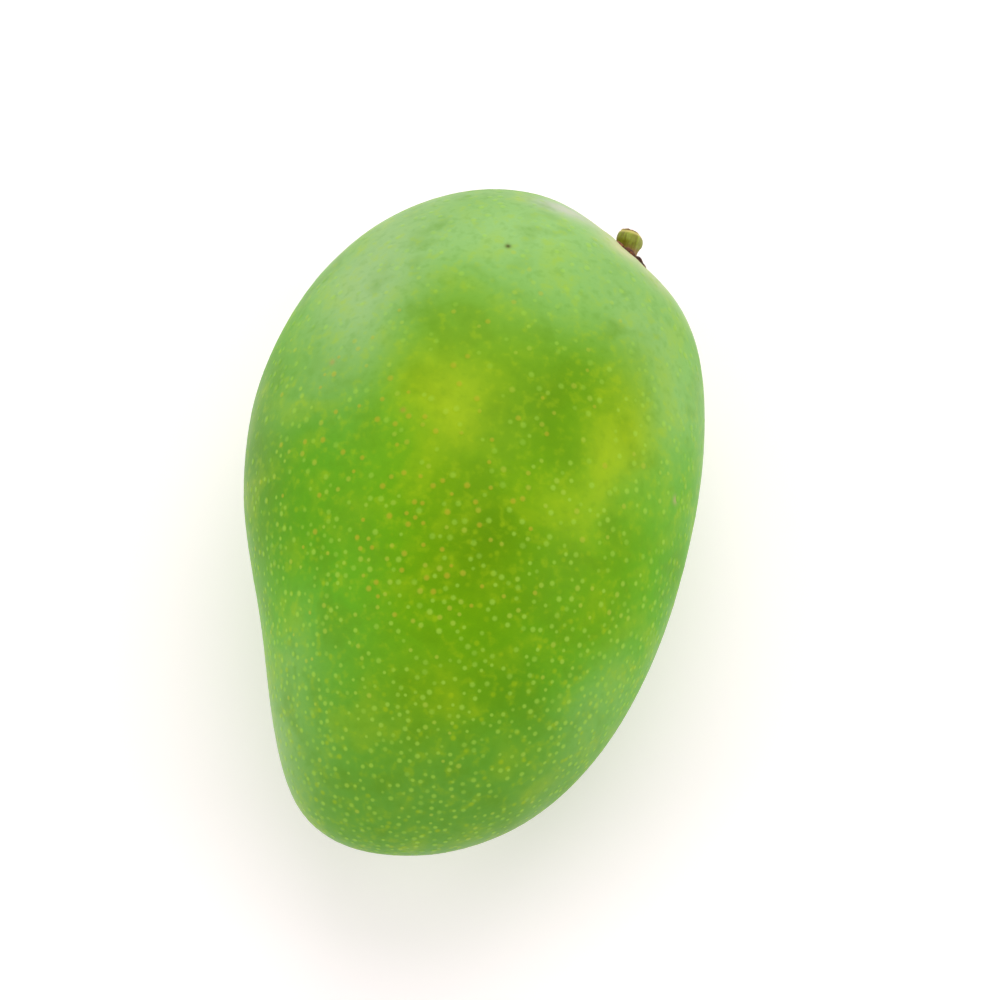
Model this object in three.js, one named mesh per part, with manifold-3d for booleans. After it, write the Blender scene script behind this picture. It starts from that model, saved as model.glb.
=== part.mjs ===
// A green mango, picked, lying on one cheek. Millimetres, +Z up.
// +Y runs along the fruit from the apex to the stem end, +X points to its back edge, away from the
// hollow of the belly edge, and the two cheeks face +Z and -Z. The origin is the middle of the
// underside of the whole part's box.

import * as THREE from "three";
import { mergeVertices } from "three/addons/utils/BufferGeometryUtils.js";
import Module from "manifold-3d";

// Driving dimensions of the fruit.
const fruitLength = 121.4;
const fruitWidth = 79.3;
const cheekThickness = 67;

// The long section is given at five even stations: apex, lower quarter, middle, upper quarter and
// stem end. Fullness 1 is a plain ellipse, and the offset is how far the section's middle stands
// towards the back edge.
const widthFullness = [1.025, 0.93, 1, 1.095, 1.25];
const thicknessFullness = [0.88, 0.965, 1, 1.035, 1.12];
const backOffset = [-4.9, 1.55, 0, 0.15, 2];

// The shallow hollow in the belly edge above the apex.
const hollowDepth = 1.2;
const hollowHeight = -25.5;
const hollowReach = 16;

// The stem end falls away towards the back edge, and the stem grows out of the near side of that
// fall. Its place, its lean and the ring's lean are angles from the long axis.
const stemPlace = THREE.MathUtils.degToRad(20.8);
const stemLean = THREE.MathUtils.degToRad(4);
const ringLean = THREE.MathUtils.degToRad(27);
const pitX = 22.4;
const pitDepth = 4.1;
const pitReach = 13.3;
const pitBreadth = 1.7;

// The small flat spot that the cheek rests on.
const flatDepth = 0.4;

// The corky ring round the foot of the stem, with its knobs.
const ringOuterRadius = 4.3;
const ringInnerRadius = 2.7;
const ringProud = 0.9;
const ringSunk = 1.3;
const ringKnobs = 9;
const knobRelief = 0.3;
const knobLift = 0.3;
const knobShare = 0.75;
const unevenShare = 0.25;

// The stem stub, swelling above its foot and domed at its broken end, whose fall to the back edge is
// a share of the place across. Outline points are shares of the head's radius and of the length.
const stemFootRadius = 1.85;
const stemHeadRadius = 2.4;
const stemLength = 5.2;
const stemSunk = 4.5;
const stemBend = 0.1;
const stemEndFall = 0.12;
const stemOutline = [
  [0.76, 0.2], [0.87, 0.36], [1, 0.54], [0.98, 0.68], [0.84, 0.82], [0.55, 0.93],
];
const stemRibs = 7;
const ribRelief = 0.07;

// Clearance between pieces that touch on the real fruit.
const gap = 0.3;

// How far the cutters reach beyond what they cut.
const cutterReach = 12;

// How finely the round forms are divided.
const fruitAround = 72;
const fruitAlong = 48;
const ringAround = 54;
const crownSteps = 8;
const stemAround = 28;

const wasm = await Module();
wasm.setup();

// The smooth curve through five values at s = -1, -0.5, 0, 0.5 and 1.
const curveThrough = ([apex, lower, middle, upper, stem]) => {
  const farEven = (apex + stem) / 2 - middle;
  const nearEven = (lower + upper) / 2 - middle;
  const farOdd = (stem - apex) / 2;
  const nearOdd = (upper - lower) / 2;
  const fourth = ((farEven - 4 * nearEven) * 4) / 3;
  const second = farEven - fourth;
  const third = ((farOdd - 2 * nearOdd) * 4) / 3;
  const first = farOdd - third;
  return (s) => middle + s * (first + s * (second + s * (third + s * fourth)));
};

const widthAt = curveThrough(widthFullness);
const thicknessAt = curveThrough(thicknessFullness);
const offsetAt = curveThrough(backOffset);
const bell = (distance, reach) => Math.exp(-((distance / reach) ** 2));

// The x of the skin for a direction from the fruit's middle, before the stem pit.
const skinX = (direction) => {
  const s = direction.y;
  const belly = Math.max(0, -direction.x) ** 2;
  const hollow = hollowDepth * bell((fruitLength / 2) * s - hollowHeight, hollowReach) * belly;
  return offsetAt(s) + (fruitWidth / 2) * widthAt(s) * direction.x + hollow;
};

// The point of the skin in a unit direction from the fruit's middle.
const skinPoint = (direction) => {
  const s = direction.y;
  const x = skinX(direction);
  const z = (cheekThickness / 2) * thicknessAt(s) * direction.z;
  const pit = pitDepth * bell(Math.hypot(x - pitX, z / pitBreadth), pitReach) * Math.max(0, s);
  return new THREE.Vector3(x, (fruitLength / 2) * s - pit, z);
};

const seat = skinPoint(new THREE.Vector3(Math.sin(stemPlace), Math.cos(stemPlace), 0));

// Turns a piece made along +Y at the origin to stand on the seat with a lean to the back edge.
const ontoSeat = (lean) => new THREE.Matrix4().makeRotationZ(-lean).setPosition(seat);

// A geometry with only shared positions, moved point by point.
const reshape = (geometry, move) => {
  const plain = geometry.clone();
  plain.deleteAttribute("normal");
  plain.deleteAttribute("uv");
  const merged = mergeVertices(plain);
  const positions = merged.attributes.position;
  const point = new THREE.Vector3();
  for (let i = 0; i < positions.count; i += 1) {
    point.fromBufferAttribute(positions, i);
    const moved = move(point);
    positions.setXYZ(i, moved.x, moved.y, moved.z);
  }
  return merged;
};

const toSolid = (geometry) => {
  const vertProperties = Float32Array.from(geometry.attributes.position.array);
  const triVerts = Uint32Array.from(geometry.index.array);
  return new wasm.Manifold(new wasm.Mesh({ numProp: 3, vertProperties, triVerts }));
};

const toGeometry = (solid) => {
  const mesh = solid.getMesh();
  const geometry = new THREE.BufferGeometry();
  geometry.setAttribute("position", new THREE.BufferAttribute(mesh.vertProperties, 3));
  geometry.setIndex(new THREE.BufferAttribute(mesh.triVerts, 1));
  geometry.computeVertexNormals();
  return geometry;
};

// The whole fruit before it is cut.
const fruitBody = () => {
  const ball = new THREE.SphereGeometry(1, fruitAround, fruitAlong);
  return reshape(ball, (point) => skinPoint(point.clone().normalize()));
};

// What is cut from the underside to leave the flat spot.
const belowFlatSpot = (body) => {
  body.computeBoundingBox();
  const { min } = body.boundingBox;
  const block = new THREE.BoxGeometry(fruitWidth, fruitLength, cutterReach);
  block.translate(0, 0, min.z + flatDepth - cutterReach / 2);
  return reshape(block, (point) => point);
};

// A round cutter that reaches from a depth under the seat to well outside the skin.
const roundCutter = (radius, depth, lean) => {
  const cutter = new THREE.CylinderGeometry(radius, radius, depth + cutterReach, ringAround);
  cutter.translate(0, (cutterReach - depth) / 2, 0);
  cutter.applyMatrix4(ontoSeat(lean));
  return reshape(cutter, (point) => point);
};

const makeFruit = () => {
  const body = fruitBody();
  const ringSeat = roundCutter(ringOuterRadius + knobRelief + gap, ringSunk + gap, ringLean);
  const stemBore = roundCutter(stemFootRadius + ribRelief + gap, stemSunk + gap, stemLean);
  const cut = [belowFlatSpot(body), ringSeat, stemBore].reduce(
    (solid, cutter) => solid.subtract(toSolid(cutter)), toSolid(body));
  const material = new THREE.MeshStandardMaterial({ color: 0x76ae2a, roughness: 0.42, metalness: 0 });
  const mesh = new THREE.Mesh(toGeometry(cut), material);
  mesh.name = "fruit";
  return mesh;
};

// The ring of corky knobs that the flower's base leaves round the stem.
const makeCalyxRing = () => {
  const middle = (ringOuterRadius + ringInnerRadius) / 2;
  const half = (ringOuterRadius - ringInnerRadius) / 2;
  const crown = new THREE.EllipseCurve(middle, 0, half, ringProud, 0, Math.PI);
  const profile = [
    new THREE.Vector2(ringInnerRadius, -ringSunk),
    new THREE.Vector2(ringOuterRadius, -ringSunk),
    ...crown.getPoints(crownSteps),
    new THREE.Vector2(ringInnerRadius, -ringSunk),
  ];
  const knobbed = (point) => {
    const angle = Math.atan2(point.z, point.x);
    const radius = Math.hypot(point.x, point.z);
    const outward = THREE.MathUtils.clamp((radius - ringInnerRadius) / (2 * half), 0, 1);
    const wave = knobShare * Math.cos(ringKnobs * angle) + unevenShare * Math.sin(2 * angle + 1);
    const moved = radius + knobRelief * wave * outward;
    const lift = point.y > 0 ? 1 + knobLift * wave : 1;
    return new THREE.Vector3(moved * Math.cos(angle), point.y * lift, moved * Math.sin(angle));
  };
  const geometry = reshape(new THREE.LatheGeometry(profile, ringAround), knobbed);
  geometry.applyMatrix4(ontoSeat(ringLean));
  geometry.computeVertexNormals();
  const material = new THREE.MeshStandardMaterial({ color: 0x5b3018, roughness: 0.85, metalness: 0 });
  const mesh = new THREE.Mesh(geometry, material);
  mesh.name = "calyx_ring";
  return mesh;
};

// The stub that is left of the stem, faintly ribbed, with a domed, uneven broken end.
const makeStem = () => {
  const profile = [
    new THREE.Vector2(0, -stemSunk),
    new THREE.Vector2(stemFootRadius, -stemSunk),
    new THREE.Vector2(stemFootRadius, 0),
    ...stemOutline.map(([out, up]) => new THREE.Vector2(out * stemHeadRadius, up * stemLength)),
    new THREE.Vector2(0, stemLength),
  ];
  const towardsAxis = new THREE.Vector3(-1, 0, 0);
  const grown = (point) => {
    const angle = Math.atan2(point.z, point.x);
    const radius = Math.hypot(point.x, point.z);
    const rise = Math.max(0, point.y) / stemLength;
    const ribs = radius > 0 ? ribRelief * Math.cos(stemRibs * angle) : 0;
    const fall = stemEndFall * point.x * rise ** 3;
    const moved = new THREE.Vector3(
      (radius + ribs) * Math.cos(angle), point.y - fall, (radius + ribs) * Math.sin(angle));
    return moved.addScaledVector(towardsAxis, stemBend * rise ** 2);
  };
  const geometry = reshape(new THREE.LatheGeometry(profile, stemAround), grown);
  geometry.applyMatrix4(ontoSeat(stemLean));
  geometry.computeVertexNormals();
  const material = new THREE.MeshStandardMaterial({ color: 0x7c7f1e, roughness: 0.7, metalness: 0 });
  const mesh = new THREE.Mesh(geometry, material);
  mesh.name = "stem";
  return mesh;
};

const mango = new THREE.Group();
mango.name = "mango";
mango.add(makeFruit(), makeCalyxRing(), makeStem());

// The middle of the underside of the whole box becomes the origin.
const box = new THREE.Box3().setFromObject(mango, true);
mango.position.set(-(box.min.x + box.max.x) / 2, -(box.min.y + box.max.y) / 2, -box.min.z);

export default mango;
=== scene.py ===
"""A whole green mango that lies on one cheek.

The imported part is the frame. The skin with its low relief, the pale dots, the corky calyx ring and the
broken stem stub are grown by node trees over the part's three solids. Metres, +Z up.
"""

import math
from types import SimpleNamespace

import bpy
from mathutils import Matrix, Vector


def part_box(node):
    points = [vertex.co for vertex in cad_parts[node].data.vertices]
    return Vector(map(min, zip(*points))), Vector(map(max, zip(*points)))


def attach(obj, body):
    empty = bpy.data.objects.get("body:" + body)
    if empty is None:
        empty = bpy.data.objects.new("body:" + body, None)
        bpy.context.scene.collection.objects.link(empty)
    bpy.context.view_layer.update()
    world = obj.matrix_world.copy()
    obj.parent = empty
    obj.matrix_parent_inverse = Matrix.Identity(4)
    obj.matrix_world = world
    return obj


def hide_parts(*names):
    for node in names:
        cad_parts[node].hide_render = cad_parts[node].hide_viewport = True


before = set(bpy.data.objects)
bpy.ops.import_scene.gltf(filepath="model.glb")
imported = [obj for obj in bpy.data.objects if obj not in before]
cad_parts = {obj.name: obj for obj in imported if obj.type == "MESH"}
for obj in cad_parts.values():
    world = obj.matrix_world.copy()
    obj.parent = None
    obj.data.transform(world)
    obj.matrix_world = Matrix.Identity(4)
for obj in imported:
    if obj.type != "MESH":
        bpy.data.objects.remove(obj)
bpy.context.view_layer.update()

bl_info = {
    "name": "Green mango",
    "version": (1, 0, 0),
    "blender": (4, 5, 0),
    "location": "3D View > Sidebar > Mango",
    "description": "Grows a whole green mango with its dots, calyx ring and stem stub",
    "category": "Object",
}

MM = 0.001
BODY = "root"

# The stations at which the long section is given, from the apex to the stem end.
STATIONS = ("apex", "lower quarter", "middle", "upper quarter", "stem end")


def paint(red, green, blue):
    """A colour picked on a screen, 0 to 255 a channel, as the linear colour that a shader takes."""
    def linear(channel):
        share = channel / 255
        return share / 12.92 if share <= 0.04045 else ((share + 0.055) / 1.055) ** 2.4
    return (linear(red), linear(green), linear(blue), 1)


class Term:
    """A number in a node tree. Arithmetic on it adds Math nodes to the tree."""

    def __init__(self, tree, socket):
        self.tree = tree
        self.socket = socket

    def __add__(self, other):
        return calculate("ADD", self, other)

    def __radd__(self, other):
        return calculate("ADD", other, self)

    def __sub__(self, other):
        return calculate("SUBTRACT", self, other)

    def __rsub__(self, other):
        return calculate("SUBTRACT", other, self)

    def __mul__(self, other):
        return calculate("MULTIPLY", self, other)

    def __rmul__(self, other):
        return calculate("MULTIPLY", other, self)

    def __truediv__(self, other):
        return calculate("DIVIDE", self, other)

    def __neg__(self):
        return calculate("MULTIPLY", self, -1)


def calculate(operation, *values):
    """A Math node on numbers and terms, as a term."""
    tree = next(value.tree for value in values if isinstance(value, Term))
    node = tree.nodes.new("ShaderNodeMath")
    node.operation = operation
    for slot, value in zip(node.inputs, values):
        plug(tree, value, slot)
    return Term(tree, node.outputs[0])


def plug(tree, value, slot):
    """Links a term or a socket to a node's input, or sets a plain value there."""
    if isinstance(value, Term):
        tree.links.new(value.socket, slot)
    elif isinstance(value, bpy.types.NodeSocket):
        tree.links.new(value, slot)
    else:
        slot.default_value = value


def either(operation, plain):
    """A function that works on plain numbers, and on terms by a Math node."""
    def act(*values):
        if any(isinstance(value, Term) for value in values):
            return calculate(operation, *values)
        return plain(*values)
    return act


sine = either("SINE", math.sin)
cosine = either("COSINE", math.cos)
tangent = either("TANGENT", math.tan)
arc_cosine = either("ARCCOSINE", math.acos)
angle_of = either("ARCTAN2", math.atan2)
square_root = either("SQRT", math.sqrt)
exponential = either("EXPONENT", math.exp)
power = either("POWER", math.pow)
size_of = either("ABSOLUTE", abs)
larger = either("MAXIMUM", max)
smaller = either("MINIMUM", min)


def joined(tree, across, along, up):
    """Three numbers or terms as one vector socket."""
    node = tree.nodes.new("ShaderNodeCombineXYZ")
    for slot, value in zip(node.inputs, (across, along, up)):
        plug(tree, value, slot)
    return node.outputs[0]


def parts_of(tree, vector):
    """The three terms of a vector socket."""
    node = tree.nodes.new("ShaderNodeSeparateXYZ")
    tree.links.new(vector, node.inputs[0])
    return tuple(Term(tree, socket) for socket in node.outputs)


def vector_math(tree, operation, *values):
    """A Vector Math node's vector."""
    node = tree.nodes.new("ShaderNodeVectorMath")
    node.operation = operation
    for slot, value in zip(node.inputs, values):
        plug(tree, value, slot)
    return node.outputs["Vector"]


def scaled(tree, vector, factor):
    """A vector socket times a number or term."""
    node = tree.nodes.new("ShaderNodeVectorMath")
    node.operation = "SCALE"
    plug(tree, vector, node.inputs[0])
    plug(tree, factor, node.inputs["Scale"])
    return node.outputs["Vector"]


def noise(tree, vector, scale, detail=2.0, roughness=0.5):
    """Smooth noise from 0 to 1 over a vector, as a term."""
    node = tree.nodes.new("ShaderNodeTexNoise")
    plug(tree, vector, node.inputs["Vector"])
    node.inputs["Scale"].default_value = scale
    node.inputs["Detail"].default_value = detail
    node.inputs["Roughness"].default_value = roughness
    return Term(tree, node.outputs[0])


def noise_vector(tree, vector, scale):
    """Three smooth noises from 0 to 1 over a vector, as one socket."""
    node = tree.nodes.new("ShaderNodeTexNoise")
    plug(tree, vector, node.inputs["Vector"])
    node.inputs["Scale"].default_value = scale
    node.inputs["Detail"].default_value = 1.0
    return node.outputs["Color"]


def cells(tree, vector, scale, feature="F1"):
    """The distance to the nearest of scattered points, or to the edges between their cells."""
    node = tree.nodes.new("ShaderNodeTexVoronoi")
    node.feature = feature
    plug(tree, vector, node.inputs["Vector"])
    node.inputs["Scale"].default_value = scale
    return Term(tree, node.outputs["Distance"])


def ramp(tree, value, low, high):
    """0 at low and 1 at high, with a smooth rise between. High may be the smaller one."""
    node = tree.nodes.new("ShaderNodeMapRange")
    node.interpolation_type = "SMOOTHSTEP"
    plug(tree, value, node.inputs["Value"])
    plug(tree, low, node.inputs["From Min"])
    plug(tree, high, node.inputs["From Max"])
    return Term(tree, node.outputs["Result"])


def mixed(tree, factor, first, second):
    """Two colours mixed, as a socket."""
    node = tree.nodes.new("ShaderNodeMix")
    node.data_type = "RGBA"
    plug(tree, factor, node.inputs[0])
    plug(tree, first, node.inputs[6])
    plug(tree, second, node.inputs[7])
    return node.outputs[2]


# The rule of the fruit's form, for plain numbers and for terms alike.

def curve_through(values, s):
    """The smooth curve through five values at s = -1, -0.5, 0, 0.5 and 1."""
    apex, lower, middle, upper, stem = values
    far_even = (apex + stem) / 2 - middle
    near_even = (lower + upper) / 2 - middle
    far_odd = (stem - apex) / 2
    near_odd = (upper - lower) / 2
    fourth = ((far_even - 4 * near_even) * 4) / 3
    second = far_even - fourth
    third = ((far_odd - 2 * near_odd) * 4) / 3
    first = far_odd - third
    return middle + s * (first + s * (second + s * (third + s * fourth)))


def bell(distance, reach):
    share = distance / reach
    return exponential(-(share * share))


def skin_x(form, across, along):
    """How far the skin stands towards the back edge, before the stem pit."""
    belly = larger(-across, 0.0)
    place = form.length / 2 * along - form.hollow_height
    hollow = form.hollow_depth * bell(place, form.hollow_reach) * belly * belly
    half = form.width / 2 * curve_through(form.width_fullness, along)
    return curve_through(form.back_offset, along) + half * across + hollow


def skin_point(form, across, along, up):
    """The point of the skin in a unit direction from the fruit's middle."""
    x = skin_x(form, across, along)
    z = form.thickness / 2 * curve_through(form.thickness_fullness, along) * up
    beside = x - form.pit_x
    above = z / form.pit_breadth
    off_pit = square_root(beside * beside + above * above)
    pit = form.pit_depth * bell(off_pit, form.pit_reach) * larger(along, 0.0)
    return x, form.length / 2 * along - pit, z


def stations(label, values):
    return bpy.props.FloatVectorProperty(
        name=label, description=label + " at five even stations, from the apex to the stem end",
        size=5, default=values)


def length_value(label, description, millimetres):
    return bpy.props.FloatProperty(
        name=label, description=description, default=millimetres * MM,
        subtype="DISTANCE", unit="LENGTH")


def angle_value(label, description, degrees):
    return bpy.props.FloatProperty(
        name=label, description=description, default=math.radians(degrees),
        subtype="ANGLE", unit="ROTATION")


def colour_value(label, description, colour):
    return bpy.props.FloatVectorProperty(
        name=label, description=description, default=colour, size=4, subtype="COLOR", min=0, max=1)


class MangoFruit(bpy.types.PropertyGroup):
    """The fruit's form, as its solid has it, and its low relief."""

    length: length_value("Length", "From the apex to the stem end", 121.4)
    width: length_value("Width", "From the belly edge to the back edge at the middle", 79.3)
    thickness: length_value("Thickness", "From cheek to cheek at the middle", 67)
    width_fullness: stations("Width fullness", (1.025, 0.93, 1, 1.095, 1.25))
    thickness_fullness: stations("Thickness fullness", (0.88, 0.965, 1, 1.035, 1.12))
    back_offset: stations("Back offset", (-4.9 * MM, 1.55 * MM, 0, 0.15 * MM, 2 * MM))
    hollow_depth: length_value("Hollow depth", "Depth of the hollow in the belly edge", 1.2)
    hollow_height: length_value("Hollow height", "Where the hollow is, from the middle", -25.5)
    hollow_reach: length_value("Hollow reach", "How far the hollow spreads", 16)
    pit_x: length_value("Pit place", "How far the stem pit is towards the back edge", 22.4)
    pit_depth: length_value("Pit depth", "Depth of the fall beside the stem", 4.1)
    pit_reach: length_value("Pit reach", "How far the fall spreads", 13.3)
    pit_breadth: bpy.props.FloatProperty(
        name="Pit breadth", default=1.7,
        description="How many times as broad the fall is from cheek to cheek")
    flat_depth: length_value("Flat depth", "How deep the resting spot is pressed", 0.4)
    swell: length_value("Swell", "Height of the broad uneven swells of the skin", 0.45)
    dimple: length_value("Dimple", "Height of the fine unevenness of the skin", 0.07)
    pucker: length_value("Pucker", "Height of the folds that run out from the stem", 0.3)


class MangoStem(bpy.types.PropertyGroup):
    """The calyx ring and the stem stub, as their solids have them, but the ring hugs the stem."""

    place: angle_value("Place", "Where the stem is, from the long axis", 20.8)
    lean: angle_value("Lean", "How far the stem leans to the back edge", 4)
    ring_lean: angle_value("Ring lean", "How far the ring leans to the back edge", 27)
    ring_outer: length_value("Ring outer radius", "Radius of the calyx ring outside", 4.3)
    ring_inner: length_value("Ring inner radius", "Radius of the calyx ring inside", 2.35)
    ring_proud: length_value("Ring height", "How far the ring stands above the skin", 0.9)
    ring_sunk: length_value("Ring depth", "How far the ring goes under the skin", 1.3)
    knobs: bpy.props.IntProperty(name="Knobs", description="Knobs round the ring", default=9)
    knob_relief: length_value("Knob relief", "How far the knobs stand out", 0.3)
    head: length_value("Head radius", "Radius of the stem where it swells", 2.4)
    stub: length_value("Stub length", "Length of the stem above the skin", 5.2)
    sunk: length_value("Stub depth", "Length of the stem under the skin", 4.5)
    bend: length_value("Bend", "How far the stem bends towards the fruit's axis", 0.1)
    fall: bpy.props.FloatProperty(
        name="End fall", description="How steeply the broken end falls to the back edge", default=0.12)
    rib_relief: length_value("Rib relief", "Height of the ribs along the stem", 0.07)


class MangoDots(bpy.types.PropertyGroup):
    """The pale dots of the skin."""

    spacing: length_value("Spacing", "Least distance between two dots", 1.3)
    radius: length_value("Radius", "Radius of the largest dots", 0.94)
    height: bpy.props.FloatProperty(
        name="Height", description="A dot's height as a share of its radius", default=0.035)
    seed: bpy.props.IntProperty(name="Seed", description="Seed of the scatter", default=11)


class MangoColours(bpy.types.PropertyGroup):
    """The colours of the skin, the dots, the ring and the stem."""

    green: colour_value("Green", "Main colour of the skin", paint(95, 170, 10))
    # The deep green is the skin's own darker blotches, and also painted shade on the left flank and on
    # the underside.
    deep: colour_value("Deep green", "Darker blotches, and painted shade on the left flank and underside", paint(88, 142, 6))
    yellow: colour_value("Yellow green", "Where the skin begins to turn", paint(118, 160, 0))
    bright: colour_value("Bright yellow", "The palest turning patch", paint(164, 192, 18))
    olive: colour_value("Olive", "Darker patches beside the yellow", paint(99, 144, 0))
    # The pale green is partly real bloom and partly painted sheen, where the waxy skin would catch the
    # white room on top and at the limbs.
    pale: colour_value("Pale green", "Under the thickest bloom, and painted sheen on the top and limbs", paint(168, 204, 138))
    apex: colour_value("Apex green", "The greyer green round the apex", paint(102, 157, 52))
    # The grey is a painted highlight on the shoulder beside the stem and painted sheen at the upper left
    # limb, over a dull bloom.
    grey: colour_value("Grey bloom and sheen", "Painted highlight and sheen, over a dull bloom on the shoulder", paint(188, 187, 176))
    dry: colour_value("Dry", "The dry skin at the limb beside the stem", paint(206, 192, 146))
    dot: colour_value("Dot", "The dots on the green", paint(162, 206, 70))
    warm_dot: colour_value("Warm dot", "The dots on the turning side", paint(186, 166, 40))
    cork: colour_value("Cork", "The ring's knobs", paint(84, 44, 22))
    red_cork: colour_value("Red cork", "The ring's redder knobs", paint(148, 84, 52))
    rim: colour_value("Rim", "The dry edge of the ring", paint(190, 160, 108))
    stalk: colour_value("Stalk", "The stem's green side", paint(142, 156, 22))
    broken: colour_value("Broken end", "The stem's dry end", paint(150, 104, 70))


def fruit_form(fruit):
    """The named values of the fruit's form as plain numbers."""
    names = ("length", "width", "thickness", "hollow_depth", "hollow_height", "hollow_reach",
             "pit_x", "pit_depth", "pit_reach", "pit_breadth")
    form = SimpleNamespace(**{name: getattr(fruit, name) for name in names})
    form.width_fullness = tuple(fruit.width_fullness)
    form.thickness_fullness = tuple(fruit.thickness_fullness)
    form.back_offset = tuple(fruit.back_offset)
    return form


def row_shift(fruit):
    """From the fruit's own middle to the part's origin, found from the solid's box."""
    form = fruit_form(fruit)
    low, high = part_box("fruit")
    steps = 400
    heights = [2 * step / steps - 1 for step in range(steps + 1)]
    belly = min(skin_x(form, -math.sqrt(1 - s * s), s) for s in heights)
    back = max(skin_x(form, math.sqrt(1 - s * s), s) for s in heights)
    return Vector((
        (low.x + high.x) / 2 - (belly + back) / 2,
        low.y + fruit.length / 2,
        (high.z - fruit.flat_depth) / 2))


def stem_seat(fruit, stem):
    """Where the stem leaves the skin, in the part's frame."""
    point = skin_point(fruit_form(fruit), math.sin(stem.place), math.cos(stem.place), 0.0)
    return Vector(point) + row_shift(fruit)


# How the node trees are built and run.

SOCKETS = {
    int: "NodeSocketInt",
    float: "NodeSocketFloat",
    Vector: "NodeSocketVector",
}


class Grower:
    """A geometry node tree with named inputs, and the values that its modifier gets."""

    def __init__(self, name, takes_mesh=False):
        self.tree = bpy.data.node_groups.new(name, "GeometryNodeTree")
        self.name = name
        self.values = {}
        face = self.tree.interface
        if takes_mesh:
            face.new_socket("Mesh", in_out="INPUT", socket_type="NodeSocketGeometry")
        face.new_socket("Mesh", in_out="OUTPUT", socket_type="NodeSocketGeometry")
        self.start = self.tree.nodes.new("NodeGroupInput")

    def value(self, label, value):
        """A named input with its value, as a term, or as a socket for a vector."""
        socket = self.tree.interface.new_socket(
            label, in_out="INPUT", socket_type=SOCKETS[type(value)])
        self.values[socket.identifier] = value
        output = self.start.outputs[label]
        return output if isinstance(value, Vector) else Term(self.tree, output)

    def node(self, kind, **settings):
        """A node with its inputs set or linked by name."""
        made = self.tree.nodes.new(kind)
        for label, value in settings.items():
            plug(self.tree, value, made.inputs[label.replace("_", " ")])
        return made

    def position(self):
        return self.tree.nodes.new("GeometryNodeInputPosition").outputs[0]

    def moved(self, mesh, position=None, offset=None):
        """A Set Position node's mesh."""
        made = self.tree.nodes.new("GeometryNodeSetPosition")
        plug(self.tree, mesh, made.inputs["Geometry"])
        if position is not None:
            plug(self.tree, position, made.inputs["Position"])
        if offset is not None:
            plug(self.tree, offset, made.inputs["Offset"])
        return made.outputs[0]

    def raised(self, mesh, height):
        """A mesh moved along its own normals by a height."""
        normal = self.tree.nodes.new("GeometryNodeInputNormal").outputs[0]
        return self.moved(mesh, offset=scaled(self.tree, normal, height))

    def stored(self, mesh, label, value, domain="POINT"):
        """A mesh with a named number stored on it."""
        made = self.tree.nodes.new("GeometryNodeStoreNamedAttribute")
        made.data_type = "FLOAT"
        made.domain = domain
        plug(self.tree, mesh, made.inputs["Geometry"])
        made.inputs["Name"].default_value = label
        plug(self.tree, value, made.inputs["Value"])
        return made.outputs[0]

    def finish(self, mesh, material):
        """Ends the tree with a whole, smooth, painted mesh."""
        whole = self.node("GeometryNodeRealizeInstances", Geometry=mesh)
        smooth = self.node("GeometryNodeSetShadeSmooth", Geometry=whole.outputs[0])
        painted = self.node("GeometryNodeSetMaterial", Geometry=smooth.outputs[0])
        painted.inputs["Material"].default_value = material
        end = self.tree.nodes.new("NodeGroupOutput")
        self.tree.links.new(painted.outputs[0], end.inputs["Mesh"])

    def grow(self, mesh=None):
        """Runs the tree and returns its result as an object with a plain mesh and no modifier."""
        seed = bpy.data.objects.new(self.name, mesh or bpy.data.meshes.new(self.name))
        bpy.context.scene.collection.objects.link(seed)
        modifier = seed.modifiers.new(self.name, "NODES")
        modifier.node_group = self.tree
        for identifier, value in self.values.items():
            modifier[identifier] = value
        graph = bpy.context.evaluated_depsgraph_get()
        grown = bpy.data.meshes.new_from_object(
            seed.evaluated_get(graph), preserve_all_data_layers=True, depsgraph=graph)
        seed.modifiers.clear()
        seed.data = grown
        grown.name = self.name
        if not grown.polygons:
            raise RuntimeError(self.name + ": its node tree made no faces")
        return seed


def settle(piece, node):
    """Says what a finished piece rides on and stands for."""
    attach(piece, BODY)
    if node:
        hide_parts(node)


def form_inputs(grower, fruit):
    """The fruit's form as named inputs of a tree."""
    plain = fruit_form(fruit)
    form = SimpleNamespace()
    for name, value in vars(plain).items():
        label = name.replace("_", " ").capitalize()
        if isinstance(value, tuple):
            sockets = [grower.value(f"{label} at {place}", one) for place, one in zip(STATIONS, value)]
            setattr(form, name, sockets)
        else:
            setattr(form, name, grower.value(label, value))
    return form


def seat_frame(tree, position, seat, lean):
    """Across, along and up from the stem's seat, for an axis that leans to the back edge."""
    from_seat = vector_math(tree, "SUBTRACT", position, seat)
    x, y, z = parts_of(tree, from_seat)
    return (x * cosine(lean) - y * sine(lean), x * sine(lean) + y * cosine(lean), z)


def onto_seat(grower, mesh, seat, lean):
    """A mesh made upright at the origin, stood on the stem's seat with a lean to the back edge."""
    turned = grower.node("GeometryNodeTransform", Geometry=mesh)
    plug(grower.tree, seat, turned.inputs["Translation"])
    rotation = joined(grower.tree, -math.pi / 2, 0.0, -lean)
    plug(grower.tree, rotation, turned.inputs["Rotation"])
    return turned.outputs[0]


# How many points the skin's block has across, along and up before it is drawn out to a ball.
SKIN_STEPS = (112, 150, 100)

# How many swells and dimples come to a metre of the skin's noise.
SWELLS = 24
DIMPLES = 105


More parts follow.
